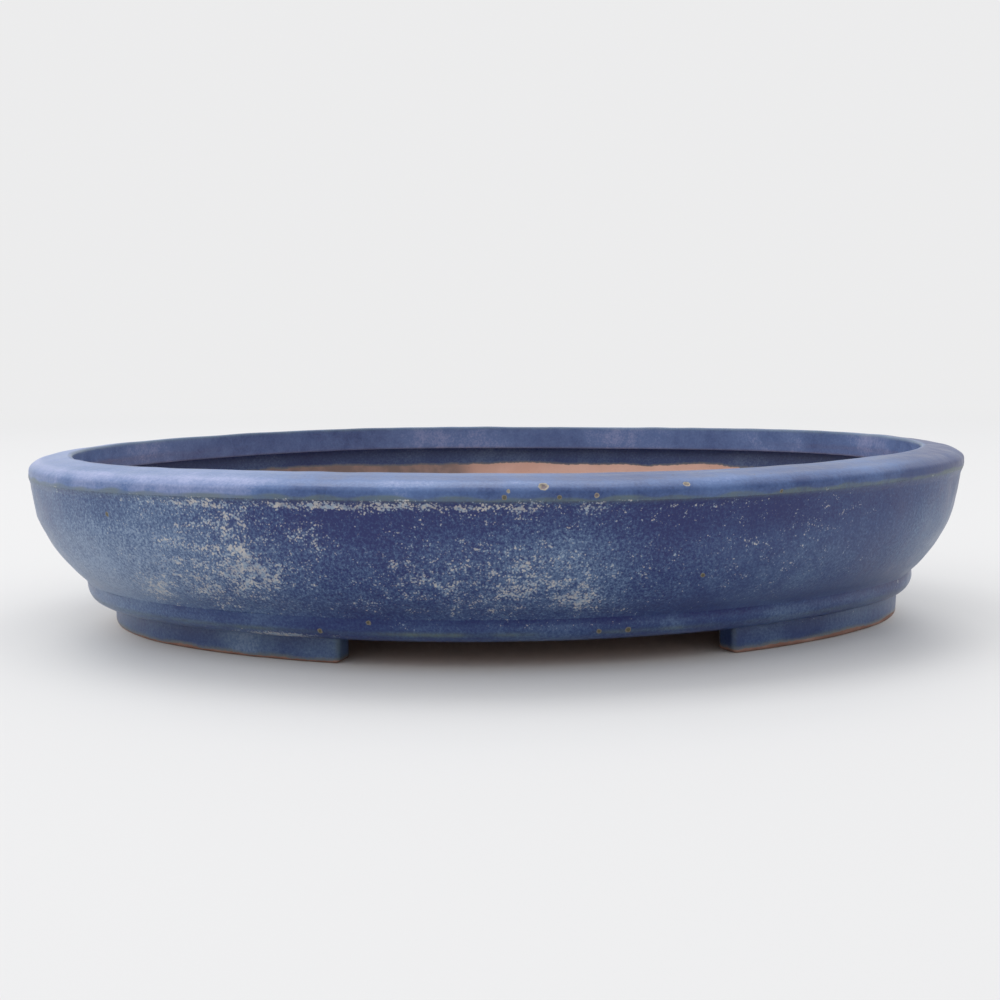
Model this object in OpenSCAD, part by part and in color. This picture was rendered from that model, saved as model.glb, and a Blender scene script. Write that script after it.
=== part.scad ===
// Shallow oval bonsai pot with a wide flat lip, a rounded bowl, a moulded belt
// above the base and a low C-shaped foot round each end. Every member is a
// piece of clay that a potter makes on its own and joins to the next with slip.
// X runs along the pot, Y across it, Z up. The origin is on the ground at the
// middle of the footprint.
//
// The ring-shaped members are profiles swept round one oval of four arcs. A
// profile is drawn in the XY plane as [inset, height]: inset is how far in from
// the outermost edge of the lip, height is above the ground.

/* [Plan] */
// Overall length, over the lip
pot_l = 300; // [296:1:310]
// Overall width across, over the lip
pot_w = 240; // [236:1:246]
// Plan radius of the two ends, at the lip's edge
end_r = 100; // [96:1:104]

/* [Heights] */
// Overall height, ground to the lip's crest
pot_h = 53.5; // [52:0.5:60]
// Height of the feet, ground to the floor's underside
foot_h = 7.2; // [6:0.2:7.6]
// Thickness of the floor
floor_t = 6; // [5:0.5:6]
// Height of the belt that covers the seam of floor and wall
belt_h = 7.2; // [7.1:0.1:7.9]

/* [Lip] */
// Width of the lip, outer edge to inner edge
lip_w = 13.2; // [11:0.2:16]
// Height of the lip's inner face
lip_drop = 8.7; // [7.5:0.1:10]
// Height of the lip's outer part, crest to the edge over the wall
lip_h = 6.3; // [5.8:0.1:7]
// Fall of the lip's top face towards the outside, in degrees
lip_fall = 8; // [6:1:10]
// Radius of the lip's outer shoulder
shoulder_r = 3; // [2:0.1:3.4]
// How far the lip stands out over the wall
lip_over = 1; // [0.6:0.1:1.6]
// Bevel on the lip's inner and lower edges
lip_bevel = 0.8; // [0.4:0.1:1.2]

/* [Wall] */
// Thickness of the wall
wall_t = 6; // [5:0.5:6.5]
// Lean of the wall's upper part, in degrees from upright
wall_lean = 10.5; // [9:0.5:12]
// Height at which the bowl starts to curve in
curve_top = 34; // [33:0.5:35]
// Outer radius of the bowl's curve
bowl_r = 32; // [31:0.5:33]
// Inset of the wall's inner face where it stands on the floor
wall_foot = 24; // [23.8:0.1:25]
// Width of the coil pressed into the corner of wall and floor
coil_w = 7; // [5:0.5:7]

/* [Belt] */
// Inset of the belt's inner face, the floor's edge and the feet
base_inset = 22.3; // [21.8:0.1:22.8]
// Radius of the belt's quarter-round face
belt_r = 7; // [6.6:0.1:7]

/* [Feet] */
// Width of a foot, outer face to inner face
foot_w = 8; // [6:0.5:12]
// Length of each cut-out between the feet, at their outer faces
cutout_l = 110; // [80:2:130]
// Bevel on a foot's lower edges
foot_bevel = 0.8; // [0.4:0.1:1.5]

/* [Drainage] */
// Diameter of the two drain holes
drain_d = 20; // [12:1:26]
// Distance between the drain holes' centres
drain_gap = 120; // [100:2:140]
// Diameter of the four tie-wire holes
wire_d = 5; // [3:0.5:7]
// Distance between tie-wire holes, along the pot
wire_gap_x = 70; // [60:2:80]
// Distance between tie-wire holes, across the pot
wire_gap_y = 84; // [70:2:90]

/* [Hidden] */
$fn = 180;

// the oval: its end arcs are centred on X at end_x and its side arcs on Y at
// side_y, and each side arc runs into an end arc on the line through their two
// centres
half_w = pot_w / 2;
end_x = pot_l / 2 - end_r;
side_y = (end_x ^ 2 - (half_w - end_r) ^ 2) / (2 * (half_w - end_r));
side_r = half_w + side_y;

// heights at which the members meet
floor_top = foot_h + floor_t;
belt_top = foot_h + belt_h;
lip_seat = pot_h - lip_h;
lip_low = pot_h - lip_drop;

// a rounding stands this far out of the straight faces that it joins, so that
// they cross it cleanly just short of the point where they would only touch it
blend = 0.05;

// the lip's crest, the sharp edge that its shoulder rounds, and the shoulder's
// centre
crest_in = lip_w - lip_bevel;
edge_up = pot_h - crest_in * tan(lip_fall);
shoulder_up = edge_up + shoulder_r * tan(lip_fall) - shoulder_r / cos(lip_fall);

// insets of the wall's straight faces: the outer one where the bowl starts to
// curve in, and the inner one under the lip and at the lip's lower edge
lean = tan(wall_lean);
bowl_start = lip_over + (lip_seat - curve_top) * lean;
seat_in = lip_over + wall_t / cos(wall_lean);
hook_in = seat_in + (lip_seat - lip_low) * lean;

curve_in = bowl_start + (bowl_r - blend) * cos(wall_lean);
curve_up = curve_top + (bowl_r - blend) * sin(wall_lean);
inner_r = bowl_r - wall_t;

// the upper faces are drawn on to this far below the curve's start
overrun = 4;

// how many times the distance of the arcs' centres a cutting wedge reaches out,
// which is clear of the pot
reach = 4;

// the foot's outer face meets the cut-out on this ray from the middle
cutout_ray = [cutout_l / 2, sqrt((side_r - base_inset) ^ 2 - cutout_l ^ 2 / 4) - side_y];

glaze = "#43588a";
pale_glaze = "#8c9ac2";
bare_clay = "#a8745c";

// keeps what lies on the +X side of the origin between a ray and its mirror
module between_rays_x(ray) {
    far = ray * reach;
    intersection() {
        children();
        translate([0, 0, -1]) linear_extrude(pot_h + 2)
            polygon([[0, 0], [far.x, -far.y], [2 * far.x, -far.y], [2 * far.x, far.y], far]);
    }
}

// keeps what lies on the +Y side of the origin between a ray and its mirror
module between_rays_y(ray) {
    far = ray * reach;
    intersection() {
        children();
        translate([0, 0, -1]) linear_extrude(pot_h + 2)
            polygon([[0, 0], far, [far.x, 2 * far.y], [-far.x, 2 * far.y], [-far.x, far.y]]);
    }
}

// turns a profile about Z, its inset measured in from radius r
module turned(r) {
    rotate_extrude() translate([r, 0]) mirror([1, 0]) children();
}

// sweeps a profile right round the oval
module round_oval() {
    ray = [end_x, side_y];
    for (side = [0, 1]) {
        mirror([side, 0, 0]) translate([end_x, 0, 0]) between_rays_x(ray) turned(end_r) children();
        mirror([0, side, 0]) translate([0, -side_y, 0]) between_rays_y(ray) turned(side_r) children();
    }
}

module curve_disc(r) {
    translate([curve_in, curve_up]) circle(r);
}

// a flat strap laid on the wall's top edge and hooked over its inner corner
module lip_profile() {
    difference() {
        polygon([
            [lip_w, lip_low], [lip_w, pot_h - lip_bevel], [crest_in, pot_h],
            [0, edge_up], [0, lip_seat + lip_bevel], [lip_over, lip_seat],
            [seat_in, lip_seat], [hook_in, lip_low],
        ]);
        difference() {
            translate([-1, shoulder_up]) square(shoulder_r + 1);
            translate([shoulder_r, shoulder_up]) circle(shoulder_r + blend);
        }
    }
}

// straight and leaning above, curved in below, standing on the belt and the floor
module wall_profile() {
    difference() {
        polygon([
            [lip_over, lip_seat], [seat_in, lip_seat],
            [bowl_start + wall_t * cos(wall_lean), curve_top + wall_t * sin(wall_lean)],
            [wall_foot, curve_top + wall_t * sin(wall_lean)], [wall_foot, floor_top],
            [base_inset, floor_top], [base_inset, belt_top],
            [bowl_start + overrun * lean, belt_top],
            [bowl_start + overrun * lean, curve_top - overrun],
        ]);
        difference() {
            square([curve_in, curve_top]);
            curve_disc(bowl_r);
        }
        curve_disc(inner_r);
    }
}

// a quarter round with its flat top under the wall and its back to the floor
module belt_profile() {
    difference() {
        translate([base_inset - belt_r, foot_h]) square([belt_r, belt_h]);
        difference() {
            translate([base_inset - belt_r - 1, foot_h - 1]) square(belt_r + 1);
            translate([base_inset, foot_h + belt_r]) circle(belt_r + blend);
        }
    }
}

// carries the wall's inner curve on to the floor
module coil_profile() {
    difference() {
        translate([wall_foot, floor_top]) square([coil_w, wall_t]);
        curve_disc(inner_r);
    }
}

module foot_profile() {
    inner = base_inset + foot_w;
    polygon([
        [base_inset, foot_h], [base_inset, foot_bevel], [base_inset + foot_bevel, 0],
        [inner - foot_bevel, 0], [inner, foot_bevel], [inner, foot_h],
    ]);
}

module rim_lip() {
    color(pale_glaze) round_oval() lip_profile();
}

module bowl_wall() {
    color(glaze) round_oval() wall_profile();
}

module base_belt() {
    color(glaze) round_oval() belt_profile();
}

module corner_coil() {
    color(bare_clay) round_oval() coil_profile();
}

module floor_slab() {
    middle = [2 * end_x + floor_t, pot_w / 4, floor_t];
    color(bare_clay) difference() {
        union() {
            round_oval() translate([base_inset, foot_h]) square([end_r - base_inset, floor_t]);
            translate([-middle.x / 2, -middle.y / 2, foot_h]) cube(middle);
        }
        for (x = [-1, 1]) {
            translate([x * drain_gap / 2, 0, 0]) cylinder(h = belt_top, d = drain_d);
            for (y = [-1, 1])
                translate([x * wire_gap_x / 2, y * wire_gap_y / 2, 0]) cylinder(h = belt_top, d = wire_d);
        }
    }
}

module foot() {
    color(glaze) between_rays_x(cutout_ray) round_oval() foot_profile();
}

module foot_right() {
    foot();
}

module foot_left() {
    mirror([1, 0, 0]) foot();
}

rim_lip();
bowl_wall();
base_belt();
floor_slab();
corner_coil();
foot_left();
foot_right();
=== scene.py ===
import math

import bpy
import numpy as np
from mathutils import Matrix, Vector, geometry


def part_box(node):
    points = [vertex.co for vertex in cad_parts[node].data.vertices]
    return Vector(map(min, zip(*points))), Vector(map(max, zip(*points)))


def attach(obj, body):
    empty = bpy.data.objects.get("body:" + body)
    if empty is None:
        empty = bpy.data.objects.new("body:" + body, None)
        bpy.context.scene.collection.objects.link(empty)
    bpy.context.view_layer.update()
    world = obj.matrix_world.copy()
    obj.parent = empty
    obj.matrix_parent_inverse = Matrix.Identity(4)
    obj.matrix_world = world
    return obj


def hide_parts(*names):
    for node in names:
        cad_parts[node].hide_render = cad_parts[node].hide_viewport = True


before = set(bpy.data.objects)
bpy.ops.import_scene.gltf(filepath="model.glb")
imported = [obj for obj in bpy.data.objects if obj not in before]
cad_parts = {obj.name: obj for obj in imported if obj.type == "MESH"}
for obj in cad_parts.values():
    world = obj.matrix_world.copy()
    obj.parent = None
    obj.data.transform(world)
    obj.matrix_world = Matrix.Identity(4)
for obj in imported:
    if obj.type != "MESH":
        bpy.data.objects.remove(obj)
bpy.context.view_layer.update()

# Everything below is in millimetres until a mesh is made. An inset is how far in
# from the outermost edge of the lip a point lies, measured square to the oval.
MM = 0.001
SEED = 20


def box_mm(node):
    low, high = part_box(node)
    return np.array(low) / MM, np.array(high) / MM


LIP_LOW, LIP_HIGH = box_mm("rim_lip")
WALL_HIGH = box_mm("bowl_wall")[1]
BELT_LOW, BELT_HIGH = box_mm("base_belt")
FLOOR_LOW, FLOOR_HIGH = box_mm("floor_slab")
COIL_HIGH = box_mm("corner_coil")[1]
FOOT_HIGH = box_mm("foot_right")[1]

# the oval: end arcs centred on X at END_X, side arcs centred on Y at SIDE_Y, which
# meet where the outward normal is MEET from Y
HALF_L, HALF_W = LIP_HIGH[0], LIP_HIGH[1]
END_R = 100.0
END_X = HALF_L - END_R
SIDE_Y = (END_X**2 - (HALF_W - END_R) ** 2) / (2 * (HALF_W - END_R))
SIDE_R = HALF_W + SIDE_Y
MEET = math.atan2(END_X, SIDE_Y)

CREST = LIP_HIGH[2]
LIP_BOTTOM = LIP_LOW[2]
SEAT = WALL_HIGH[2]
WALL_OVER = HALF_L - WALL_HIGH[0]
BELT_TOP = BELT_HIGH[2]
BELT_BOTTOM = BELT_LOW[2]
BELT_IN = HALF_L - BELT_HIGH[0]
FLOOR_TOP = FLOOR_HIGH[2]
FLOOR_BOTTOM = FLOOR_LOW[2]
BASE_IN = HALF_L - FLOOR_HIGH[0]
COIL_IN = HALF_L - COIL_HIGH[0]
FOOT_TOP = FOOT_HIGH[2]

LIP_WIDTH = 13.2
WALL_T = 6.0
LEAN = math.radians(10.5)
CURVE_TOP = 34.0
BOWL_R = 32.0
COIL_WIDTH = 7.0
COIL_TOP = 16.2
FOOT_WIDTH = 8.0
CUTOUT_HALF = 55.0
BOWL_START = WALL_OVER + (SEAT - CURVE_TOP) * math.tan(LEAN)
CURVE_IN = BOWL_START + BOWL_R * math.cos(LEAN)
CURVE_UP = CURVE_TOP + BOWL_R * math.sin(LEAN)
SEAT_IN = WALL_OVER + WALL_T / math.cos(LEAN)
HOOK_IN = SEAT_IN + (SEAT - LIP_BOTTOM) * math.tan(LEAN)

DRAIN_R, DRAIN_X = 10.0, 60.0
WIRE_R, WIRE_X, WIRE_Y = 2.5, 35.0, 42.0

# the feet sit this far towards +X of the bowl
FOOT_SHIFT = {-1: 2.8, 1: 2.5}
# what the ends of the bowl stand out beyond the drawn profile, by height
END_HEIGHTS = (0, 7, 8, 12, 16, 20, 26, 30, 35, 40, 44, 47, 48.5)
LEFT_SWELL = (0, 0, -1.2, -1.2, -1.3, -1.2, -0.4, 0.0, 1.2, 1.2, 1.0, 0.5, 0)
RIGHT_SWELL = (0, 0.3, 0.3, 0.2, -0.4, -0.6, -0.3, 0.2, 0.8, 0.9, 0.6, 0.3, 0)
# the height of the lip's twist, the place of a trough and half the length of a wave
TWIST, TWIST_AT, TWIST_HALF = 0.35, 45, 95
# the bowl's plan wanders in and out by about this much
WANDER = 0.18
# an edge sharper than this stays crisp
CRISP = math.radians(28)
# a clay mark that is well inside the glaze
GLAZED = -9


def step(low, high, value):
    """0 below low, 1 above high (or the reverse), smooth between."""
    t = np.clip((value - low) / (high - low), 0, 1)
    return t * t * (3 - 2 * t)


def bell(value, middle, width):
    """1 at the middle, falling to nothing about two widths away."""
    return np.exp(-(((value - middle) / width) ** 2))


def ripple(x, y, z, size, seed, waves=9):
    """A smooth random field of about -1 to 1 whose bumps are about size across."""
    draw = np.random.default_rng(SEED + seed)
    out = np.zeros(np.broadcast(x, y, z).shape)
    for _ in range(waves):
        k = draw.normal(size=3)
        k *= 2 * math.pi / (size * draw.uniform(0.8, 1.6) * np.linalg.norm(k))
        out += np.sin(k[0] * x + k[1] * y + k[2] * z + draw.uniform(0, 2 * math.pi))
    return out / math.sqrt(waves)


def oval(turn, inset):
    """The point of the oval whose outward normal points along turn, moved in by inset."""
    nx, ny = np.cos(turn), np.sin(turn)
    side = np.arctan2(np.abs(nx), np.abs(ny)) < MEET
    x = np.where(side, (SIDE_R - inset) * nx, np.sign(nx) * END_X + (END_R - inset) * nx)
    y = np.where(side, (SIDE_R - inset) * ny - np.sign(ny) * SIDE_Y, (END_R - inset) * ny)
    return x, y


def worked(x, y, z):
    """Hand-made unevenness: a slight twist of the lip, and ends that are not quite true."""
    lift = step(0, SEAT, z)
    dz = -TWIST * np.cos(math.pi * (x - TWIST_AT) / TWIST_HALF) * lift
    r = np.hypot(x, y) + 1e-9
    out = WANDER * ripple(x, y, 2 * z, 75, 1) * lift
    left, right = np.interp(z, END_HEIGHTS, LEFT_SWELL), np.interp(z, END_HEIGHTS, RIGHT_SWELL)
    out = out + step(80, 140, np.abs(x)) * np.where(x < 0, left, right)
    return x + x / r * out, y + y / r * out, z + dz


def dimple(x, y, z, middle, radius, depth):
    """How deep a round hollow is at each point."""
    away = np.sqrt((x - middle[0]) ** 2 + (y - middle[1]) ** 2 + (z - middle[2]) ** 2) / radius
    return depth * step(1, 0.35, away)


# Where a gas bubble broke through the glaze: position along the pot, inset and
# height on the front of the lip, and radius.
PINHOLES = [
    (0.5, 0.9, 51.2, 1.35),
    (38.0, 0.9, 51.2, 0.95),
    (-8.5, 0.05, 49.9, 0.55),
    (14.0, 0.05, 48.7, 0.65),
]
# The same where the bubble left only a stain: x, inset, height, radius.
LIP_STAINS = [(-9.5, 0.1, 48.3, 0.7), (4.5, 0.1, 48.3, 0.6), (65.0, 0.3, 48.0, 0.6)]
WALL_STAINS = [(-115.0, 2.2, 41.0, 0.7), (44.0, 6.3, 26.0, 0.7)]
BELT_STAINS = [
    (-44.0, 15.5, 13.4, 0.8),
    (-57.0, 16.3, 10.4, 0.8),
    (17.0, 16.2, 10.6, 0.8),
    (25.0, 16.2, 10.6, 0.9),
]
# Dark specks of iron on the lip's top.
SPECKS = [
    (35.5, 7.0, 52.8, 0.4),
    (43.0, 9.0, 53.0, 0.4),
    (58.0, 4.0, 52.3, 0.3),
    (63.0, 4.0, 52.3, 0.35),
    (-60.0, 6.0, 52.7, 0.3),
    (-21.0, 5.0, 52.5, 0.3),
]


def on_front(x, inset):
    """The turn at which the front of the oval, moved in by inset, has this x."""
    turns = np.linspace(math.pi, 2 * math.pi, 4001)
    return float(np.interp(x, oval(turns, inset)[0], turns))


def front_point(x, inset, z):
    """The place on the finished front with this x, inset and height."""
    px, py = oval(np.array(on_front(x, inset)), inset)
    return np.array([float(v) for v in worked(px, py, np.array(float(z)))])


def stations(count, fine_at=(), fine=5.0, reach=2.4):
    """Turns spaced evenly along the oval, and closer together near the given x."""
    t = np.linspace(0, 2 * math.pi, 20001)
    x, y = oval(t, 8.0)
    length = np.hypot(np.gradient(x), np.gradient(y))
    for at in fine_at:
        length = length * (1 + fine * bell(x, at, reach) * (y < 0))
    run = np.concatenate([[0], np.cumsum((length[1:] + length[:-1]) / 2)])
    return np.interp(np.linspace(0, run[-1], count, endpoint=False), run, t)


def rounded(corners, longest=1.0, arc=7):
    """A closed outline from (inset, z, radius) corners, with long sides divided."""
    made = []
    n = len(corners)
    for i, (px, pz, r) in enumerate(corners):
        p = np.array([px, pz])
        a = np.array(corners[i - 1][:2]) - p
        b = np.array(corners[(i + 1) % n][:2]) - p
        la, lb = np.linalg.norm(a), np.linalg.norm(b)
        a, b = a / la, b / lb
        if r <= 0:
            made.append(p)
            continue
        half = math.acos(max(-1.0, min(1.0, float(a @ b)))) / 2
        cut = min(r / math.tan(half), 0.48 * la, 0.48 * lb)
        for s in np.linspace(0, 1, arc):
            # a quadratic curve is near enough to an arc at these sizes
            made.append((1 - s) ** 2 * (p + a * cut) + 2 * s * (1 - s) * p + s**2 * (p + b * cut))
    out = []
    for i, p in enumerate(made):
        q = made[(i + 1) % len(made)]
        parts = max(1, math.ceil(np.linalg.norm(q - p) / longest))
        out += [p + (q - p) * k / parts for k in range(parts)]
    return np.array(out)


def curve(middle_in, middle_up, radius, from_z, to_z, count):
    """Points of the bowl's curve, outer or inner, as (inset, z, 0) corners."""
    z = np.linspace(from_z, to_z, count)
    return [(middle_in - math.sqrt(max(radius**2 - (middle_up - v) ** 2, 0)), v, 0) for v in z]


def quads(rows, columns, closed_rows=True):
    """Faces of a tube with this many cross-sections, each of this many points."""
    i = np.arange(rows if closed_rows else rows - 1)[:, None]
    j = np.arange(columns)[None, :]
    a = i * columns + j
    b = ((i + 1) % rows) * columns + j
    c = ((i + 1) % rows) * columns + (j + 1) % columns
    d = i * columns + (j + 1) % columns
    return np.stack([a, b, c, d], -1).reshape(-1, 4)


def inside_out(points, faces):
    """Whether the four-sided faces of a closed mesh look inwards."""
    volume = 0.0
    for f in (faces[:, [0, 1, 2]], faces[:, [0, 2, 3]]):
        p, q, r = (points[f[:, k]] for k in range(3))
        volume += np.einsum("ij,ij->i", p, np.cross(q, r)).sum()
    return volume <= 0


def outward(points, faces):
    """Turns every face over if the closed mesh is inside out."""
    return faces[:, ::-1] if inside_out(points, faces) else faces


def piece(name, points, faces, marks, material, node):
    """A mesh in metres with a number per point for each mark, in place of its CAD node."""
    mesh = bpy.data.meshes.new(name)
    mesh.from_pydata((np.asarray(points) * MM).tolist(), [], [list(map(int, f)) for f in faces])
    for mark, values in marks.items():
        data = mesh.attributes.new(mark, "FLOAT", "POINT")
        data.data.foreach_set("value", np.asarray(values, np.float32).ravel())
    mesh.polygons.foreach_set("use_smooth", [True] * len(mesh.polygons))
    mesh.set_sharp_from_angle(angle=CRISP)
    mesh.materials.append(material)
    mesh.validate()
    mesh.update()
    made = bpy.data.objects.new(name, mesh)
    bpy.context.scene.collection.objects.link(made)
    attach(made, "root")
    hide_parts(node)
    return made


def sweep(profile, turns):
    """Lays a profile round the oval. Returns x, y, inset and z, each rows by columns."""
    inset = np.repeat(profile[None, :, 0], len(turns), 0)
    z = np.repeat(profile[None, :, 1], len(turns), 0)
    x, y = oval(turns[:, None], inset)
    return x, y, inset, z


# ---------------------------------------------------------------- materials


def srgb(r, g, b):
    """A colour given in display values from 0 to 255."""

    def linear(v):
        v /= 255
        return v / 12.92 if v <= 0.04045 else ((v + 0.055) / 1.055) ** 2.4

    return (linear(r), linear(g), linear(b), 1.0)


class Nodes:
    """Short calls for a material's node tree."""

    def __init__(self, name):
        self.material = bpy.data.materials.new(name)
        self.material.use_nodes = True
        self.tree = self.material.node_tree
        self.tree.nodes.clear()
        self.place = self.new("ShaderNodeTexCoord").outputs["Object"]

    def new(self, kind, **settings):
        node = self.tree.nodes.new(kind)
        for key, value in settings.items():
            setattr(node, key, value)
        return node

    def put(self, socket, value):
        if isinstance(value, bpy.types.NodeSocket):
            self.tree.links.new(value, socket)
        else:
            socket.default_value = value

    def maths(self, operation, a, b=0.0, c=None, clamp=False):
        node = self.new("ShaderNodeMath", operation=operation, use_clamp=clamp)
        self.put(node.inputs[0], a)
        self.put(node.inputs[1], b)
        if c is not None:
            self.put(node.inputs[2], c)
        return node.outputs[0]

    def vector(self, operation, a, b):
        node = self.new("ShaderNodeVectorMath", operation=operation)
        self.put(node.inputs[0], a)
        self.put(node.inputs[1], b)
        return node.outputs["Value" if operation == "DISTANCE" else "Vector"]

    def noise(self, size_mm, detail=2.0, rough=0.5, place=None):
        node = self.new("ShaderNodeTexNoise")
        self.put(node.inputs["Vector"], place or self.place)
        self.put(node.inputs["Scale"], 1 / (size_mm * MM))
        self.put(node.inputs["Detail"], detail)
        self.put(node.inputs["Roughness"], rough)
        return node.outputs["Fac"]

    def slanted(self, scale):
        """Places turned in the XZ plane and scaled, for streaks that run down to the right."""
        node = self.new("ShaderNodeMapping")
        self.put(node.inputs["Vector"], self.place)
        self.put(node.inputs["Rotation"], (0.0, math.radians(-38), 0.0))
        self.put(node.inputs["Scale"], scale)
        return node.outputs[0]

    def ramp(self, value, low, high, out_low=0.0, out_high=1.0):
        node = self.new("ShaderNodeMapRange", interpolation_type="SMOOTHSTEP")
        for socket, given in zip(node.inputs, (value, low, high, out_low, out_high), strict=False):
            self.put(socket, given)
        return node.outputs[0]

    def mix(self, share, a, b):
        node = self.new("ShaderNodeMix", data_type="RGBA")
        self.put(node.inputs[0], share)
        self.put(node.inputs[6], a)
        self.put(node.inputs[7], b)
        return node.outputs[2]

    def blend(self, share, a, b):
        node = self.new("ShaderNodeMix", data_type="FLOAT")
        self.put(node.inputs[0], share)
        self.put(node.inputs[2], a)
        self.put(node.inputs[3], b)
        return node.outputs[0]

    def colours(self, value, stops):
        node = self.new("ShaderNodeValToRGB")
        self.put(node.inputs[0], value)
        elements = node.color_ramp.elements
        while len(elements) < len(stops):
            elements.new(0.5)
        for element, (at, colour) in zip(elements, stops, strict=True):
            element.position = at
            element.color = colour
        return node.outputs[0]

    def mark(self, name):
        return self.new("ShaderNodeAttribute", attribute_name=name).outputs["Fac"]

    def nearest(self, spots, uneven=0.35):
        """How near the closest spot is: 0 at its middle, 1 at its edge."""
        wobble = self.new("ShaderNodeTexNoise")
        self.put(wobble.inputs["Vector"], self.place)
        self.put(wobble.inputs["Scale"], 1 / (0.9 * MM))
        shift = self.vector("SUBTRACT", wobble.outputs["Color"], (0.5, 0.5, 0.5))
        shift = self.vector("MULTIPLY", shift, (uneven * 2 * MM,) * 3)
        place = self.vector("ADD", self.place, shift)
        best = None
        for x, inset, z, r in spots:
            at = front_point(x, inset, z) * MM
            away = self.maths("DIVIDE", self.vector("DISTANCE", place, tuple(at)), r * MM)
            best = away if best is None else self.maths("MINIMUM", best, away)
        return best

    def finish(self, colour, roughness, height, depth_mm, strength=1.0):
        bump = self.new("ShaderNodeBump")
        self.put(bump.inputs["Strength"], strength)
        self.put(bump.inputs["Distance"], depth_mm * MM)
        self.put(bump.inputs["Height"], height)
        shader = self.new("ShaderNodeBsdfPrincipled")
        self.put(shader.inputs["Base Color"], colour)
        self.put(shader.inputs["Roughness"], roughness)
        self.put(shader.inputs["Normal"], bump.outputs[0])
        out = self.new("ShaderNodeOutputMaterial")
        self.tree.links.new(shader.outputs[0], out.inputs[0])
        return self.material


COBALT = srgb(12, 28, 92)
BLUE = srgb(42, 64, 113)
GREY_BLUE = srgb(80, 104, 140)
PALE = srgb(128, 147, 175)
LIP_BLUE = srgb(82, 108, 156)
# the lip's palest colour: partly its paler glaze, partly a painted lavender sheen, the reflection of the
# sky on its top
LAVENDER_AND_SKY_SHEEN = srgb(152, 159, 196)
THIN = srgb(96, 108, 96)
CREAM = srgb(196, 190, 184)
MILK = srgb(150, 166, 184)
OCHRE = srgb(140, 126, 90)
HOLE = srgb(122, 106, 102)
STAIN = srgb(92, 84, 54)
STAIN_RIM = srgb(62, 78, 92)
TERRACOTTA = srgb(212, 180, 168)
RUST = srgb(190, 152, 136)
# grey-brown over bare clay: partly a thin glaze, partly painted shade under the belt and inside on the
# left
GREY_WASH_AND_SHADE = srgb(122, 110, 108)


def clay_colour(n):
    grain = n.noise(0.7, 4, 0.65)
    cloud = n.noise(14, 3, 0.55)
    colour = n.mix(n.ramp(cloud, 0.3, 0.75, 0, 0.6), TERRACOTTA, RUST)
    colour = n.mix(n.ramp(grain, 0.62, 0.75, 0, 0.45), colour, srgb(140, 98, 80))
    return n.mix(n.ramp(grain, 0.4, 0.25, 0, 0.35), colour, srgb(232, 204, 188))


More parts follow.
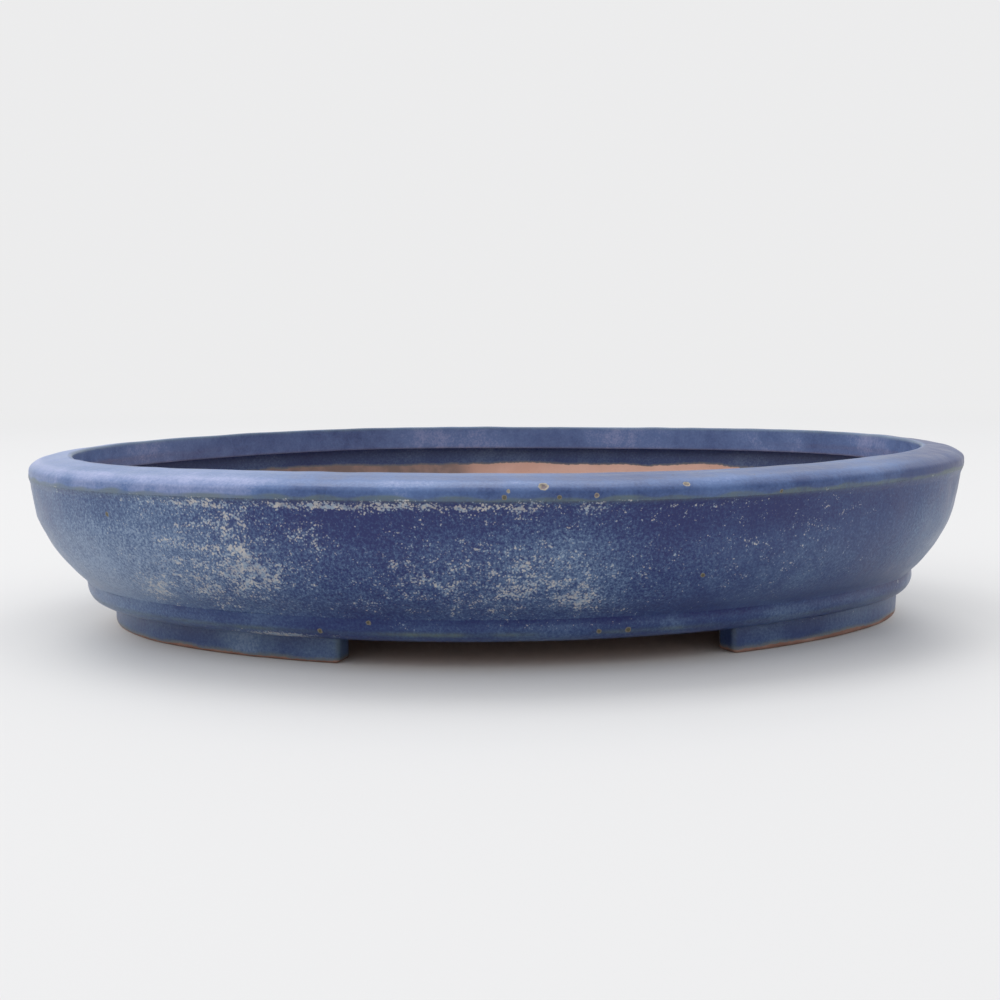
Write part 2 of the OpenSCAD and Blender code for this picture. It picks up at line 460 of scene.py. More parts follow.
def glaze(name, spots=(), stains=(), specks=(), light=(GREY_BLUE, PALE), wash_and_shade_colour=GREY_WASH_AND_SHADE):
    """Satin blue glaze over clay. It reads the marks that each mesh carries: tone,
    from cobalt at 0 to pale at 1, which on some pieces also carries painted light and
    shade; crystals, the share that they cover; thin, where the glaze ran off an edge;
    clay, the distance in millimetres past the glaze's edge; mottle, how strongly light
    and dark mix; and wash_and_shade, where a thin brownish glaze lies on the bare clay
    or painted shade darkens it."""
    n = Nodes(name)
    fine = n.noise(0.75, 3, 0.6)
    grain = n.noise(0.38, 2, 0.6)
    patch = n.noise(6, 3, 0.55)
    broad = n.noise(30, 2, 0.5)

    mottle = n.ramp(n.mark("mottle"), 0, 1, 0.2, 1.8)
    tone = n.maths("MULTIPLY_ADD", broad, 0.5, n.maths("SUBTRACT", n.mark("tone"), 0.25))
    tone = n.maths("MULTIPLY_ADD", patch, 0.4, n.maths("SUBTRACT", tone, 0.2))
    uneven = n.maths("MULTIPLY_ADD", fine, 1.0, n.maths("MULTIPLY_ADD", grain, 0.5, -0.75))
    tone = n.maths("MULTIPLY_ADD", uneven, mottle, tone, clamp=True)
    colour = n.colours(tone, [(0.0, COBALT), (0.35, BLUE), (0.68, light[0]), (1.0, light[1])])

    thin = n.maths("MULTIPLY", n.mark("thin"), n.ramp(patch, 0.3, 0.6, 0.55, 1.0))
    thin = n.maths("MULTIPLY", thin, n.ramp(fine, 0.25, 0.6, 0.7, 1.0), clamp=True)
    colour = n.mix(thin, colour, n.mix(n.ramp(fine, 0.4, 0.65), THIN, srgb(84, 104, 112)))

    # crystals: fine specks, in clumps a few millimetres across and in slanting streaks
    dense = n.mark("crystals")
    speck = n.noise(0.7, 4, 0.68)
    clump = n.noise(3.0, 2, 0.55)
    streak = n.noise(3.2, 2, 0.5, n.slanted((0.45, 1.0, 1.6)))
    level = n.maths("MULTIPLY_ADD", dense, 0.5, -0.12)
    for field, weight in ((speck, 1.0), (clump, 0.6), (streak, 0.5)):
        level = n.maths("MULTIPLY_ADD", n.maths("SUBTRACT", field, 0.5), weight, level)
    dots = n.new("ShaderNodeTexVoronoi")
    n.put(dots.inputs["Vector"], n.place)
    n.put(dots.inputs["Scale"], 1 / (0.68 * MM))
    level = n.maths("MULTIPLY_ADD", dots.outputs["Distance"], -0.5, level)
    crystals = n.maths("MULTIPLY", n.ramp(level, -0.07, 0.11), n.ramp(dense, 0.0, 0.1), clamp=True)
    haze = n.maths("MULTIPLY", n.ramp(level, -0.3, 0.1, 0, 0.13), dense, clamp=True)
    colour = n.mix(haze, colour, MILK)
    cream = n.mix(n.ramp(n.noise(1.3, 1), 0.35, 0.62), MILK, CREAM)
    colour = n.mix(n.maths("MULTIPLY", crystals, n.ramp(patch, 0.3, 0.65, 0.5, 0.85)), colour, cream)

    edge = n.maths("MULTIPLY_ADD", n.noise(1.6, 3, 0.6), 1.0, n.maths("SUBTRACT", n.mark("clay"), 0.5))
    bare = n.ramp(edge, -0.12, 0.12)
    rusty = n.maths("MULTIPLY", n.ramp(edge, -1.1, -0.1), 0.75)
    colour = n.mix(rusty, colour, srgb(112, 112, 108))
    wash_and_shade_share = n.maths("MULTIPLY", n.mark("wash_and_shade"), n.ramp(patch, 0.25, 0.6, 0.75, 1.0), clamp=True)
    clay = n.mix(wash_and_shade_share, clay_colour(n), wash_and_shade_colour)
    colour = n.mix(bare, colour, clay)

    height = n.maths("MULTIPLY_ADD", fine, 0.5, n.maths("MULTIPLY", grain, 0.25))
    height = n.maths("MULTIPLY_ADD", n.noise(2.4, 2), 1.2, height)
    height = n.maths("MULTIPLY_ADD", crystals, 0.25, height)
    height = n.maths("MULTIPLY_ADD", n.maths("MULTIPLY", bare, grain), 0.9, height)

    roughness = n.blend(crystals, n.ramp(patch, 0.3, 0.7, 0.3, 0.4), 0.55)
    roughness = n.blend(n.maths("MULTIPLY", thin, 0.7), roughness, 0.45)
    roughness = n.blend(bare, roughness, 0.88)

    for places, rim, middle in ((stains, STAIN_RIM, STAIN), (spots, CREAM, HOLE)):
        if places:
            near = n.nearest(places)
            ring = n.mix(n.ramp(near, 0.62, 0.74), middle, n.mix(0.75, rim, OCHRE))
            colour = n.mix(n.ramp(near, 1.12, 0.9, 0, 0.85), colour, ring)
            roughness = n.blend(n.ramp(near, 1.0, 0.7), roughness, 0.7)
    if specks:
        near = n.nearest(specks, 0.15)
        colour = n.mix(n.ramp(near, 1.1, 0.6, 0, 0.8), colour, srgb(52, 56, 78))
    return n.finish(colour, roughness, height, 0.07)


def bare_clay(name):
    """Fired clay without glaze, with the wipes of a wet sponge and fine grog."""
    n = Nodes(name)
    colour = clay_colour(n)
    stretched = n.vector("MULTIPLY", n.place, (0.25, 1.0, 1.0))
    wipes = n.noise(3.2, 4, 0.6, stretched)
    colour = n.mix(n.ramp(wipes, 0.45, 0.75, 0, 0.3), colour, srgb(138, 96, 76))
    grog = n.noise(0.5, 2, 0.7)
    height = n.maths("MULTIPLY_ADD", grog, 0.6, n.maths("MULTIPLY", wipes, 0.9))
    return n.finish(colour, n.ramp(grog, 0.3, 0.7, 0.8, 0.93), height, 0.12)


LIP_GLAZE = glaze("lip_glaze", PINHOLES, LIP_STAINS, SPECKS, light=(LIP_BLUE, LAVENDER_AND_SKY_SHEEN))
BOWL_GLAZE = glaze("bowl_glaze", stains=WALL_STAINS)
BELT_GLAZE = glaze("belt_glaze", stains=BELT_STAINS)
# the feet's bare strip darkened red-brown: painted shade on clay that faces down
FOOT_GLAZE = glaze("foot_glaze", wash_and_shade_colour=srgb(122, 84, 70))
CLAY = bare_clay("bare_clay")

# ---------------------------------------------------------------- the lip

# the glaze fills the corner under the lip, so that the wall starts this far in
WALL_TOP_IN = 0.4


def make_lip():
    fall = CREST - 0.05
    profile = rounded(
        [
            (LIP_WIDTH, LIP_BOTTOM, 0.9),
            (LIP_WIDTH, fall, 1.0),
            (8.0, fall - 0.45, 15),
            (2.7, fall - 1.35, 8),
            (0.05, fall - 3.2, 2.6),
            (0.0, SEAT + 1.1, 0.8),
            (WALL_TOP_IN, SEAT, 0.0),
            (SEAT_IN, SEAT, 0),
            (HOOK_IN, LIP_BOTTOM, 0),
        ],
        longest=0.55,
    )
    turns = stations(860, [p[0] for p in PINHOLES], fine=5)
    x, y, inset, z = sweep(profile, turns)
    px, py, pz = worked(x, y, z)
    swell = 0.07 * ripple(x, y, z, 13, 2) * step(LIP_BOTTOM, SEAT + 1, z)
    for hole_x, hole_in, hole_z, r in PINHOLES:
        at = front_point(hole_x, hole_in, hole_z)
        swell = swell - dimple(px, py, pz, at, r, 0.4 * r)
        swell = swell + dimple(px, py, pz, at, 2.1 * r, 0.09 * r)
    nx, ny = np.cos(turns)[:, None], np.sin(turns)[:, None]
    face = step(3.5, 0.4, inset)
    px, py = px + nx * swell * face, py + ny * swell * face
    pz = pz + swell * (1 - 0.6 * face)
    run = ripple(x, y, 0 * z, 9, 3)
    outer = step(3.0, 1.0, inset)
    patchy = step(-0.4, 0.8, ripple(x, y, 0 * z, 15, 28))
    # painted light and shade on the lip: paler on the inner face, where light falls from above; a
    # painted highlight along the shoulder; paler at the left end, where the light from the left falls;
    # and painted shade that deepens the right end
    tone = 0.45 + 0.18 * step(12.2, 13, inset) + 0.05 * ripple(x, y, z, 40, 4) + 0.02 * outer
    tone = tone + 0.14 * bell(inset, 2.6, 1.4) * (z > SEAT + 2)
    tone = tone + 0.28 * step(0, -120, x) * (inset < 12) - 0.32 * step(90, 140, x) * (inset < 12)
    marks = {
        "tone": tone,
        "mottle": 0.12 + 0 * x,
        "crystals": 0.5 * outer * step(SEAT + 0.8, SEAT + 0.1, z) * patchy,
        "thin": 0.75 * outer * step(SEAT + 1.3 + 0.4 * run, SEAT + 0.6 + 0.4 * run, z)
        + 0.6 * bell(z, CREST - 0.3, 0.7) * step(12.2, 13.0, inset),
        "clay": GLAZED + 0 * x,
        "wash_and_shade": 0 * x,
    }
    points = np.stack([px, py, pz], -1).reshape(-1, 3)
    faces = outward(points, quads(*x.shape))
    return piece("lip_strap", points, faces, marks, LIP_GLAZE, "rim_lip")


# ---------------------------------------------------------------- the bowl

# Drifts of crystals on the front: x, height, half length, half height, tilt in
# degrees, and how dense.
DRIFTS = [
    (-76, 28, 15, 10, -30, 0.88),
    (-88, 22, 15, 6, -25, 0.78),
    (-103, 20, 9, 5, -35, 0.9),
    (-96, 27, 10, 5, -30, 0.5),
    (-80, 41, 12, 6, 10, 0.72),
    (-60, 38, 10, 6, -40, 0.62),
    (-62, 26, 7, 6, -20, 0.45),
    (-90, 45.5, 12, 1.6, 0, 0.95),
    (-45, 45.6, 62, 1.4, 0, 0.95),
    (-4, 45.3, 7, 1.6, 0, 1.0),
    (13, 45.4, 6, 1.5, 0, 1.0),
    (45, 45.2, 24, 1.4, 0, 0.5),
    (-32, 27, 12, 7, -15, 0.62),
    (-8, 24, 12, 6, -10, 0.7),
    (10, 21, 8, 5, -20, 0.88),
    (0, 31, 14, 5, -10, 0.45),
    (22, 15.5, 5, 2.5, 0, 0.6),
    (28, 27, 10, 8, 0, 0.32),
    (72, 37, 24, 9, 5, 0.3),
    (-45, 19, 10, 4, 0, 0.45),
    (-84, 30, 27, 17, 0, 0.66),
    (-12, 26, 40, 13, 0, 0.6),
    (60, 30, 34, 12, 0, 0.3),
    (0, 43, 60, 4, 0, 0.35),
]


def wall_crystals(x, y, z):
    """The drifts on the front, and random ones of the same kind on the back."""
    front = step(4, -8, y)
    dense = 0 * x
    for at_x, at_z, half_x, half_z, tilt, share in DRIFTS:
        c, s = math.cos(math.radians(tilt)), math.sin(math.radians(tilt))
        along, across = (x - at_x) * c + (z - at_z) * s, -(x - at_x) * s + (z - at_z) * c
        dense = np.maximum(dense, share * np.exp(-((along / half_x) ** 2) - (across / half_z) ** 2))
    drift = step(0.15, 1.5, ripple(x, y, 1.6 * z, 52, 5) + 0.35 * ripple(x, y, z, 16, 6))
    under_lip = bell(z, 45.4, 1.5) * step(-0.8, 0.9, ripple(x, y, 0, 60, 7))
    back = 0.8 * np.maximum(drift * step(12, 18, z), under_lip)
    return np.maximum(front * dense, (1 - front) * back)


def wall_tone(x, y, z):
    """Deepest under the lip; paler towards the ends, partly a paler glaze and partly painted light
    falling from both sides, most on the left.
    """
    front = step(20, -20, y)
    left, right = step(-55, -125, x), step(45, 130, x)
    tone = 0.37 + 0.09 * ripple(x, y, z, 45, 8)
    tone = tone - 0.26 * step(33, 44, z) * (1 - 0.6 * np.maximum(left, right))
    tone = tone + 0.1 * bell(z, 24, 9)
    # on the front, paler ends: partly paler glaze, partly painted light from the sides, most from the
    # left
    return tone + front * (0.34 * left + 0.16 * right - 0.05 * step(10, 45, x)) + (1 - front) * 0.1


def wall_mottle(x, y, z):
    """Coarse between cobalt and grey in the upper middle of the front, finer elsewhere."""
    sides = np.maximum(step(15, 60, x), 0.7 * step(-60, -125, x)) * step(20, -20, y)
    return 0.95 - 0.5 * sides - 0.35 * step(22, 14, z)


def seam_fill(x, z):
    """Slip and glaze that round the corner where the wall stands on the belt. The corner
    is softest on the left of the front."""
    reach = np.interp(x, (-150, -125, -110, -45, 0, 60, 135), (1.4, 1.8, 2.6, 2.6, 2.2, 1.5, 1.3))
    return 0.33 * reach * np.clip(1 - np.abs(z - BELT_TOP) / reach, 0, 1) ** 2


def make_bowl():
    outer = curve(CURVE_IN, CURVE_UP, BOWL_R, CURVE_TOP, 18, 18)
    outer += curve(CURVE_IN, CURVE_UP, BOWL_R, 17.7, BELT_TOP, 12)
    inner_top = CURVE_TOP + WALL_T * math.sin(LEAN)
    inner = curve(CURVE_IN, CURVE_UP, BOWL_R - WALL_T, COIL_TOP, inner_top, 20)
    corners = [(WALL_TOP_IN, SEAT, 0), (WALL_TOP_IN + 0.3, SEAT - 0.6, 0.6), (1.35, SEAT - 1.9, 1.5)]
    corners += outer
    corners += [(BASE_IN, BELT_TOP, 0), (BASE_IN, FLOOR_TOP, 0), (COIL_IN, FLOOR_TOP, 0)]
    corners += inner + [(SEAT_IN, SEAT, 0)]
    profile = rounded(corners, longest=1.0)
    turns = stations(680)
    x, y, inset, z = sweep(profile, turns)
    # out is 1 on the outer face and 0 on the inner one, parted by the wall's middle line
    middle = np.interp(profile[:, 1], [FLOOR_TOP, 16, 24, 34, SEAT], [19, 17, 10.5, 6.5, 4.2])
    out = (profile[:, 0] < middle)[None, :] * np.ones_like(x)
    px, py, pz = worked(x, y, z)
    # a thicker run of glaze here and there outside, and a hand-smoothed inner face
    swell = 0.09 * ripple(x, y, z, 17, 9) * step(BELT_TOP, BELT_TOP + 3, z) * step(SEAT, SEAT - 3, z)
    nx, ny = np.cos(turns)[:, None], np.sin(turns)[:, None]
    push = (swell + seam_fill(x, z)) * out
    push = push - 0.12 * ripple(x, y, z, 24, 10) * (1 - out) * step(20, 26, z)
    px, py = px + nx * push, py + ny * push
    # the height at which the glaze stops inside
    line = 38.3 + 0.45 * ripple(x, y, 0 * z, 40, 11) + 0.15 * ripple(x, y, 0 * z, 9, 12)
    marks = {
        "tone": np.where(out > 0, wall_tone(x, y, z), 0.34 + 0.08 * ripple(x, y, z, 30, 13)),
        "mottle": np.where(out > 0, wall_mottle(x, y, z), 0.3),
        "crystals": wall_crystals(x, y, z) * out,
        "thin": out * 0.5 * step(SEAT - 0.9, SEAT - 0.1, z),
        "clay": np.where(out > 0, GLAZED, line - z),
        # inside on the left, grey-brown over the bare clay: partly a thin glaze, partly painted shade
        # from the left rim
        "wash_and_shade": (1 - out) * step(12, -20, x + 6 * ripple(x, y, z, 20, 14)) * step(30, 34, z),
    }
    points = np.stack([px, py, pz], -1).reshape(-1, 3)
    faces = outward(points, quads(*x.shape))
    return piece("bowl_shell", points, faces, marks, BOWL_GLAZE, "bowl_wall")


# ---------------------------------------------------------------- the belt

# the inset of the wall's outer face where it meets the belt
WALL_FOOT_IN = CURVE_IN - math.sqrt(BOWL_R**2 - (CURVE_UP - BELT_TOP) ** 2)


def make_belt():
    radius = BASE_IN - BELT_IN
    middle = BELT_TOP - 0.9
    bottom = BELT_BOTTOM + 0.15
    drop = middle - bottom
    # a quarter of a superellipse, a little squarer than a circle
    power = 2 / 2.4
    bulge = []
    for a in np.linspace(0, math.pi / 2, 22):
        inset = BASE_IN - radius * math.cos(a) ** power
        bulge.append((inset, middle - drop * math.sin(a) ** power, 0))
    corners = [(BASE_IN, BELT_TOP, 0), (WALL_FOOT_IN, BELT_TOP, 0)]
    corners += bulge + [(BASE_IN, bottom, 0)]
    profile = rounded(corners, longest=0.4)
    turns = stations(820)
    x, y, inset, z = sweep(profile, turns)
    px, py, pz = worked(x, y, z)
    swell = 0.1 * ripple(x, y, z, 21, 15) + seam_fill(x, z)
    swell = swell * step(BASE_IN - 0.8, BASE_IN - 2.5, inset)
    nx, ny = np.cos(turns)[:, None], np.sin(turns)[:, None]
    px, py = px + nx * swell, py + ny * swell
    crest = bell(z, 10.1, 0.65) * step(BELT_IN + 3, BELT_IN + 1.6, inset)
    front = step(10, -30, y)
    tone = 0.36 + 0.1 * ripple(x, y, z, 30, 16)
    # painted shade in the groove along the belt's top, from the middle rightwards
    tone = tone - 0.2 * step(12.0, BELT_TOP - 0.3, z) * step(-60, -10, x)
    # paler ends on the front: partly paler glaze, partly painted light from the sides, most from the
    # left
    tone = tone + 0.25 * step(-60, -130, x) * front + 0.1 * step(60, 130, x) * front
    crystals = bell(z, 8.5, 1.0) * bell(x, -66, 15) * front
    crystals = crystals + 0.25 * step(0.2, 1.2, ripple(x, y, z, 26, 17)) * step(10, 12, z)
    crystals = crystals + 0.3 * bell(z, 13, 1.6) * bell(x, 5, 22) * front
    marks = {
        "tone": tone,
        "mottle": 0.45 + 0 * x,
        "crystals": crystals,
        "thin": crest * step(-1.0, 0.2, ripple(x, y, 0 * z, 28, 18)) * (0.35 + 0.65 * bell(x, -25, 60))
        + 0.45 * bell(inset, BASE_IN - 1.9, 0.8) * step(9, 7.6, z),
        "clay": np.where(z < 10, inset - (BASE_IN - 1.1) + 0.3 * ripple(x, y, z, 12, 19), GLAZED),
        # the bare underside darkened: painted shade where it faces down
        "wash_and_shade": 0.5 + 0 * x,
    }
    points = np.stack([px, py, pz], -1).reshape(-1, 3)
    faces = outward(points, quads(*x.shape))
    return piece("belt_moulding", points, faces, marks, BELT_GLAZE, "base_belt")


# ---------------------------------------------------------------- the seam coil


def make_coil():
    end = COIL_IN + COIL_WIDTH
    top = curve(CURVE_IN, CURVE_UP, BOWL_R - WALL_T, COIL_TOP, 14.15, 9)
    corners = [(COIL_IN, FLOOR_TOP, 0), (COIL_IN, COIL_TOP, 0)] + top[1:]
    corners += [(end, FLOOR_TOP + 0.35, 0.3), (end + 0.25, FLOOR_TOP, 0)]
    profile = rounded(corners, longest=0.8)
    turns = stations(620)
    x, y, inset, z = sweep(profile, turns)
    px, py, pz = worked(x, y, z)
    # pressed down by a fingertip all the way round
    press = 0.18 * ripple(x, y, z, 11, 20) * step(COIL_IN, COIL_IN + 2, inset) * step(FLOOR_TOP, 14.2, z)
    pz = pz + press
    points = np.stack([px, py, pz], -1).reshape(-1, 3)
    faces = outward(points, quads(*x.shape))
    return piece("seam_coil", points, faces, {}, CLAY, "corner_coil")


# ---------------------------------------------------------------- the feet


# the radius of a foot's rounded ends, and how many sections round one off
FOOT_END_R, FOOT_END_ROWS = 1.5, 7
# each end face is closed by copies of its outline at these sizes
CAP_SIZES = (0.7, 0.4, 0.15)


def cutout_turn():
    """The turn at which the right foot's outer face meets the cut-out."""
    cut_y = math.sqrt((SIDE_R - BASE_IN) ** 2 - CUTOUT_HALF**2) - SIDE_Y
    turns = np.linspace(-math.pi / 2, 0, 6001)
    px, py = oval(turns, BASE_IN)
    return -float(turns[np.argmin(np.abs(np.arctan2(py, px) + math.atan2(cut_y, CUTOUT_HALF)))])


def foot_sections(profile, start):
    """The turns, insets and heights of a foot's sections, from one end to the other."""
    angle = np.linspace(0, math.pi / 2, FOOT_END_ROWS)
    shrink = FOOT_END_R * (1 - np.cos(angle))
    # lengths along the side arc, as turns
    lead = FOOT_END_R * (1 - np.sin(angle)) / (SIDE_R - BASE_IN)
    centre = profile.mean(0)
    half = (profile.max(0) - profile.min(0)) / 2
    ends = []
    for k in range(FOOT_END_ROWS - 1, 0, -1):
        small = centre + (profile - centre) * (1 - shrink[k] / half)
        ends.append((-start + lead[k], small))
    turns = np.linspace(-start, start, 300)
    first, last = turns[0] + lead[0], turns[-1] - lead[0]
    body = [first, *turns[(turns > first) & (turns < last)], last]
    sections = ends + [(t, profile) for t in body] + [(-t, small) for t, small in ends[::-1]]
    outlines = np.array([outline for _, outline in sections])
    return np.array([t for t, _ in sections]), outlines[:, :, 0], outlines[:, :, 1]


def close_ends(points, insets):
    """Adds smaller and smaller copies of the two end outlines. Returns all points and
    their insets, the new four-sided faces and the two faces in the middle."""
    rows, columns = insets.shape
    inset_all, faces, middles = list(insets.ravel()), [], []
    for row, flip in ((0, True), (rows - 1, False)):
        outline = np.arange(columns) + row * columns
        middle, inset_middle = points[outline].mean(0), insets[row].mean()
        ring = outline
        for size in CAP_SIZES:
            new = np.arange(columns) + len(points)
            points = np.vstack([points, middle + (points[outline] - middle) * size])
            inset_all += list(inset_middle + (insets[row] - inset_middle) * size)
            for j in range(columns):
                k = (j + 1) % columns
                quad = [ring[j], ring[k], new[k], new[j]]
                faces.append(quad[::-1] if flip else quad)
            ring = new
        middles.append(list(ring[::-1]) if flip else list(ring))
    return points, np.array(inset_all), faces, middles


def make_foot(name, node, side):
    inner = BASE_IN + FOOT_WIDTH
    corners = [(BASE_IN, FOOT_TOP + 0.6, 0.3), (BASE_IN, 0.0, 1.0)]
    corners += [(inner, 0.0, 0.8), (inner, FOOT_TOP + 0.1, 0.3)]
    start = cutout_turn()
    rows, insets, heights = foot_sections(rounded(corners, longest=0.7), start)
    x, y = oval(rows[:, None], insets)
    x = side * x
    px, py, pz = worked(x, y, heights)
    nx, ny = side * np.cos(rows)[:, None], np.sin(rows)[:, None]
    swell = 0.09 * ripple(x, y, heights, 19, 21) * step(BASE_IN + 3, BASE_IN + 0.5, insets)
    px, py = px + nx * swell + FOOT_SHIFT[side], py + ny * swell
    points = np.stack([px, py, pz], -1).reshape(-1, 3)
    faces = [list(f) for f in quads(*x.shape, closed_rows=False)]
    points, inset_all, caps, middles = close_ends(points, insets)
    faces += caps
    turned = inside_out(points, np.array(faces))
    faces += middles
    if turned:
        faces = [f[::-1] for f in faces]
    x, y, z = points.T
    corner_x, corner_y = oval(np.array(-start), BASE_IN)
    end_near = bell(np.abs(x - FOOT_SHIFT[side]), corner_x + 0.3, 0.9) * (np.abs(y) > -corner_y - 3)
    # the glaze stops higher on the right foot
    glaze_low, thin_at = (0.7, 1.3) if side < 0 else (1.3, 1.9)
    patchy = step(-0.3, 1.0, ripple(x, y, 0 * z, 18, 23))
    run = step(-0.8, 0.6, ripple(x, y, 0 * z, 13, 24))
    line = glaze_low + 0.2 * ripple(x, y, 0 * z, 16, 25)
    marks = {
        "tone": 0.4 + 0.1 * ripple(x, y, z, 26, 22) + 0.12 * (side < 0),
        "crystals": 0.25 * step(FOOT_TOP - 1.6, FOOT_TOP - 0.4, z) * patchy,
        "mottle": 0.3 + 0 * x,
        "thin": 0.8 * bell(z, thin_at, 0.4) * run + 0.5 * end_near,
        "clay": np.maximum(line - z, inset_all - (BASE_IN + 7.4)),
        # the bare clay darkened: painted shade where it faces down and in under the pot
        "wash_and_shade": 0.9 + 0 * x,
    }
    return piece(name, points, faces, marks, FOOT_GLAZE, node)


# ---------------------------------------------------------------- the floor

# the radius of the floor's soft edges, and how far its faces lie inside the drawn slab
FLOOR_SOFT, FLOOR_SUNK, FLOOR_RAISED = 0.9, 0.16, 0.1


def circle(cx, cy, r, count):
    a = np.linspace(0, 2 * math.pi, count, endpoint=False)
    return np.stack([cx + r * np.cos(a), cy + r * np.sin(a)], -1)


def make_floor():
    soft = FLOOR_SOFT
    holes = [(sx * DRAIN_X, 0.0, DRAIN_R, 64) for sx in (-1, 1)]
    holes += [(sx * WIRE_X, sy * WIRE_Y, WIRE_R, 28) for sx in (-1, 1) for sy in (-1, 1)]
    turns = stations(420)
    edge = np.stack(oval(turns, BASE_IN + soft), -1)
    loops = [edge] + [circle(cx, cy, r + soft, n) for cx, cy, r, n in holes]
    flat = [p for loop in loops for p in loop]
    spacing = 3.0
    gx, gy = np.meshgrid(np.arange(-132, 133, spacing), np.arange(-102, 103, spacing))
    gx = gx + (np.arange(gx.shape[0])[:, None] % 2) * spacing / 2
    inner_x, inner_y = gx.ravel(), gy.ravel()
    keep = inside_oval(inner_x, inner_y, BASE_IN + soft + 1.6)
    for cx, cy, r, _ in holes:
        keep &= np.hypot(inner_x - cx, inner_y - cy) > r + soft + 1.2
    flat += list(np.stack([inner_x[keep], inner_y[keep]], -1))
    constraints, at = [], 0
    for loop in loops:
        n = len(loop)
        constraints += [(at + k, at + (k + 1) % n) for k in range(n)]
        at += n
    made = geometry.delaunay_2d_cdt([tuple(map(float, p)) for p in flat], constraints, [], 0, 1e-6)
    verts = np.array([tuple(v) for v in made[0]])
    tris = np.array(made[2])
    centres = verts[tris].mean(1)
    keep = inside_oval(centres[:, 0], centres[:, 1], BASE_IN + soft)
    for cx, cy, r, _ in holes:
        keep &= np.hypot(centres[:, 0] - cx, centres[:, 1] - cy) > r + soft - 0.02
    tris = tris[keep]
    origin = {tuple(o)[0]: k for k, o in enumerate(made[3]) if len(o)}
    n_flat = len(verts)
    uneven = 0.16 * ripple(*verts.T, 0, 34, 26) + 0.05 * ripple(*verts.T, 0, 9, 27)
    top = np.column_stack([verts, FLOOR_TOP - FLOOR_SUNK + 0.6 * uneven])
    bottom = np.column_stack([verts, FLOOR_BOTTOM + FLOOR_RAISED + 0.4 * uneven])
    points = [top, bottom]
    faces = [list(t) for t in tris] + [list(t[::-1] + n_flat) for t in tris]
    total = 2 * n_flat
    at = 0
    # how far out and how far down each step of a soft edge lies, in soft radii
    levels = [(math.sin(a), 1 - math.cos(a)) for a in np.linspace(0, math.pi / 2, 5)[1:]]
    shapes = [(out, FLOOR_TOP - FLOOR_SUNK - soft * down) for out, down in levels]
    shapes += [(1.0, (FLOOR_TOP + FLOOR_BOTTOM) / 2)]
    shapes += [(out, FLOOR_BOTTOM + FLOOR_RAISED + soft * down) for out, down in levels[::-1]]
    for number, loop in enumerate(loops):
        n = len(loop)
        ring = np.array([origin[at + k] for k in range(n)])
        at += n
        rings = [ring]
        for out, level in shapes:
            if number == 0:
                place = np.stack(oval(turns, BASE_IN + soft * (1 - out)), -1)
            else:
                cx, cy, r, _ = holes[number - 1]
                place = circle(cx, cy, r + soft * (1 - out), n)
            points.append(np.column_stack([place, np.full(n, level)]))
            rings.append(np.arange(n) + total)
            total += n
        rings.append(ring + n_flat)
        for a, b in zip(rings[:-1], rings[1:], strict=True):
            for k in range(n):
                m = (k + 1) % n
                quad = [a[k], b[k], b[m], a[m]]
                faces.append(quad if number == 0 else quad[::-1])
    points = np.stack(worked(*np.vstack(points).T), -1)
    return piece("floor_plate", points, faces, {}, CLAY, "floor_slab")


def inside_oval(x, y, inset):
    """Whether each point lies inside the oval moved in by inset."""
    x, y = np.abs(x), np.abs(y)
    on_side = x * SIDE_Y < END_X * (y + SIDE_Y)
    in_end = np.hypot(x - END_X, y) < END_R - inset
    in_side = np.hypot(x, y + SIDE_Y) < SIDE_R - inset
    return np.where(on_side, in_side, in_end)


make_lip()
make_bowl()
make_belt()
make_coil()
make_floor()
make_foot("left_foot_band", "foot_left", -1)
make_foot("right_foot_band", "foot_right", 1)

# ---------------------------------------------------------------- the studio

BACKDROP = (0.84, 0.84, 0.845, 1.0)
# the plan of the pot's own shadow, which the floor's painted fill light, a glow, leaves alone
SHADOW_HALF_L, SHADOW_HALF_W, SHADOW_FRONT = 0.15, 0.16, 0.06
# the sky: its strength in front, behind and overhead, and its share on the left and right
SKY_FRONT, SKY_BACK, SKY_OVERHEAD = 0.36, 0.85, 1.3
SKY_LEFT, SKY_RIGHT = 1.08, 0.93
SKY_COLOUR = (0.97, 0.985, 1.0, 1.0)


def make_stage():
    n = Nodes("pale_floor")
    away = n.vector("DISTANCE", n.place, (0.0, 0.0, 0.0))
    shader = n.new("ShaderNodeBsdfPrincipled")
    n.put(shader.inputs["Base Color"], srgb(208, 207, 207))
    n.put(shader.inputs["Roughness"], 0.75)
    glow = n.new("ShaderNodeEmission")
    n.put(glow.inputs["Color"], BACKDROP)
    join = n.new("ShaderNodeMixShader")
    # painted light: the floor glows a little to fill its shadows all round, except close to the pot, and
    # far off fades into the backdrop
    near = n.vector("ADD", n.place, (0.0, SHADOW_FRONT, 0.0))
    near = n.vector("MULTIPLY", near, (1 / SHADOW_HALF_L, 1 / SHADOW_HALF_W, 0.0))
    near = n.vector("DISTANCE", near, (0.0, 0.0, 0.0))
    glow_share = n.maths("MAXIMUM", n.ramp(near, 0.7, 0.98, 0, 0.45), n.ramp(away, 0.45, 1.6))
    n.put(join.inputs[0], glow_share)
    n.tree.links.new(shader.outputs[0], join.inputs[1])
    n.tree.links.new(glow.outputs[0], join.inputs[2])
    out = n.new("ShaderNodeOutputMaterial")
    n.tree.links.new(join.outputs[0], out.inputs[0])
    rim = circle(0, 0, 12.0, 96)
    mesh = bpy.data.meshes.new("studio_floor")
    mesh.from_pydata([(float(a), float(b), 0.0) for a, b in rim], [], [list(range(len(rim)))])
    mesh.materials.append(n.material)
    floor = bpy.data.objects.new("studio_floor", mesh)
    bpy.context.scene.collection.objects.link(floor)


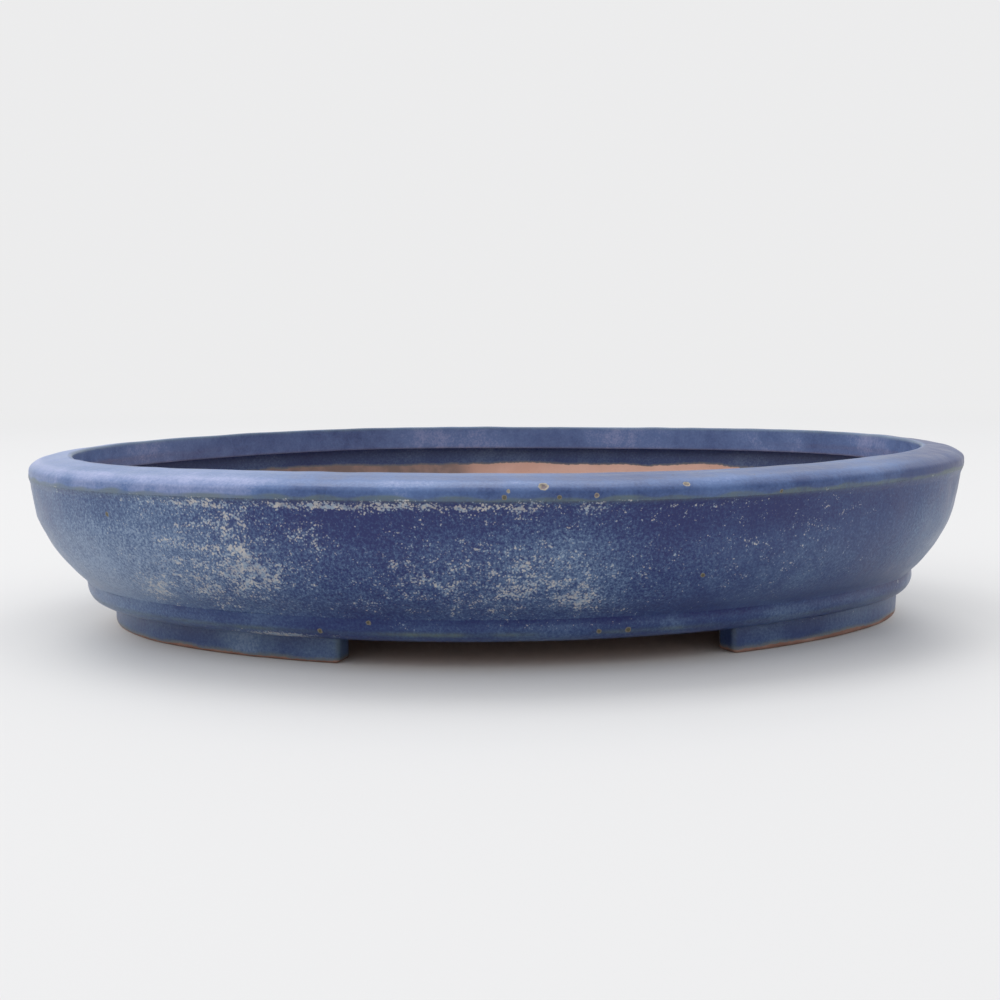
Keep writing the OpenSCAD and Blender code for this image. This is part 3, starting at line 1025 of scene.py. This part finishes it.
def make_world():
    world = bpy.data.worlds.new("studio")
    world.use_nodes = True
    tree = world.node_tree
    tree.nodes.clear()

    def ramp(value, *ends, smooth=True):
        node = tree.nodes.new("ShaderNodeMapRange")
        if smooth:
            node.interpolation_type = "SMOOTHSTEP"
        for socket, end in zip(node.inputs[1:5], ends, strict=True):
            socket.default_value = end
        tree.links.new(value, node.inputs[0])
        return node.outputs[0]

    path = tree.nodes.new("ShaderNodeLightPath")
    seen = tree.nodes.new("ShaderNodeBackground")
    seen.inputs["Color"].default_value = BACKDROP
    place = tree.nodes.new("ShaderNodeTexCoord")
    split = tree.nodes.new("ShaderNodeSeparateXYZ")
    tree.links.new(place.outputs["Generated"], split.inputs[0])
    lit = tree.nodes.new("ShaderNodeBackground")
    lit.inputs["Color"].default_value = SKY_COLOUR
    # brighter behind and above than on the camera's side
    whole = tree.nodes.new("ShaderNodeMix")
    tree.links.new(ramp(split.outputs["Z"], 0.05, 0.8, 0.0, 1.0), whole.inputs[0])
    tree.links.new(ramp(split.outputs["Y"], -0.9, 0.4, SKY_FRONT, SKY_BACK), whole.inputs[2])
    whole.inputs[3].default_value = SKY_OVERHEAD
    both = tree.nodes.new("ShaderNodeMath")
    both.operation = "MULTIPLY"
    tree.links.new(whole.outputs[0], both.inputs[0])
    side = ramp(split.outputs["X"], -0.9, 0.9, SKY_LEFT, SKY_RIGHT, smooth=False)
    tree.links.new(side, both.inputs[1])
    tree.links.new(both.outputs[0], lit.inputs["Strength"])
    join = tree.nodes.new("ShaderNodeMixShader")
    tree.links.new(path.outputs["Is Camera Ray"], join.inputs[0])
    tree.links.new(lit.outputs[0], join.inputs[1])
    tree.links.new(seen.outputs[0], join.inputs[2])
    out = tree.nodes.new("ShaderNodeOutputWorld")
    tree.links.new(join.outputs[0], out.inputs[0])
    bpy.context.scene.world = world


def make_light(name, place, aim, size, watts, colour):
    data = bpy.data.lights.new(name, "AREA")
    data.shape = "RECTANGLE"
    data.size, data.size_y = size
    data.energy = watts
    data.color = colour
    light = bpy.data.objects.new(name, data)
    light.location = place
    toward = np.array(place) - np.array(aim)
    back = toward / np.linalg.norm(toward)
    right = np.cross((0, 0, 1), back)
    right /= np.linalg.norm(right)
    up = np.cross(back, right)
    light.matrix_world = Matrix(
        [[right[i], up[i], back[i], place[i]] for i in range(3)] + [[0, 0, 0, 1]]
    )
    bpy.context.scene.collection.objects.link(light)


# The camera: how far away and how high it stands, how far round to the left, and
# how far it points down and leans.
CAMERA_AWAY, CAMERA_UP = 0.5003, 0.0878
CAMERA_ROUND, CAMERA_PAN = math.radians(5.01), math.radians(-0.02)
CAMERA_DOWN, CAMERA_LEAN = math.radians(6.01), math.radians(-0.42)
CAMERA_LENS, CAMERA_SENSOR = 54.736, 36.0


def make_camera():
    pan, down, lean = CAMERA_PAN, CAMERA_DOWN, CAMERA_LEAN
    ahead = np.array(
        [math.sin(pan) * math.cos(down), math.cos(pan) * math.cos(down), -math.sin(down)]
    )
    right = np.array([math.cos(pan), -math.sin(pan), 0.0])
    up = np.cross(right, ahead)
    right, up = (
        math.cos(lean) * right + math.sin(lean) * up,
        -math.sin(lean) * right + math.cos(lean) * up,
    )
    place = np.array([0.0, -CAMERA_AWAY, CAMERA_UP])
    c, s = math.cos(CAMERA_ROUND), math.sin(CAMERA_ROUND)
    turn = np.array([[c, s, 0], [-s, c, 0], [0, 0, 1]])
    right, up, ahead, place = (turn @ v for v in (right, up, ahead, place))
    data = bpy.data.cameras.new("camera")
    data.lens, data.sensor_width = CAMERA_LENS, CAMERA_SENSOR
    data.clip_start, data.clip_end = 0.01, 60
    camera = bpy.data.objects.new("camera", data)
    camera.matrix_world = Matrix(
        [[right[i], up[i], -ahead[i], place[i]] for i in range(3)] + [[0, 0, 0, 1]]
    )
    bpy.context.scene.collection.objects.link(camera)
    bpy.context.scene.camera = camera


make_stage()
make_world()
make_light("key", (-1.1, -0.2, 0.8), (0, 0, 0), (0.8, 0.8), 2, (1.0, 0.99, 0.97))
make_light("overhead", (-0.1, 0.4, 1.3), (0, 0.0, 0), (1.0, 0.6), 5, (1.0, 1.0, 1.0))
make_camera()
bpy.context.scene.view_settings.view_transform = "Standard"
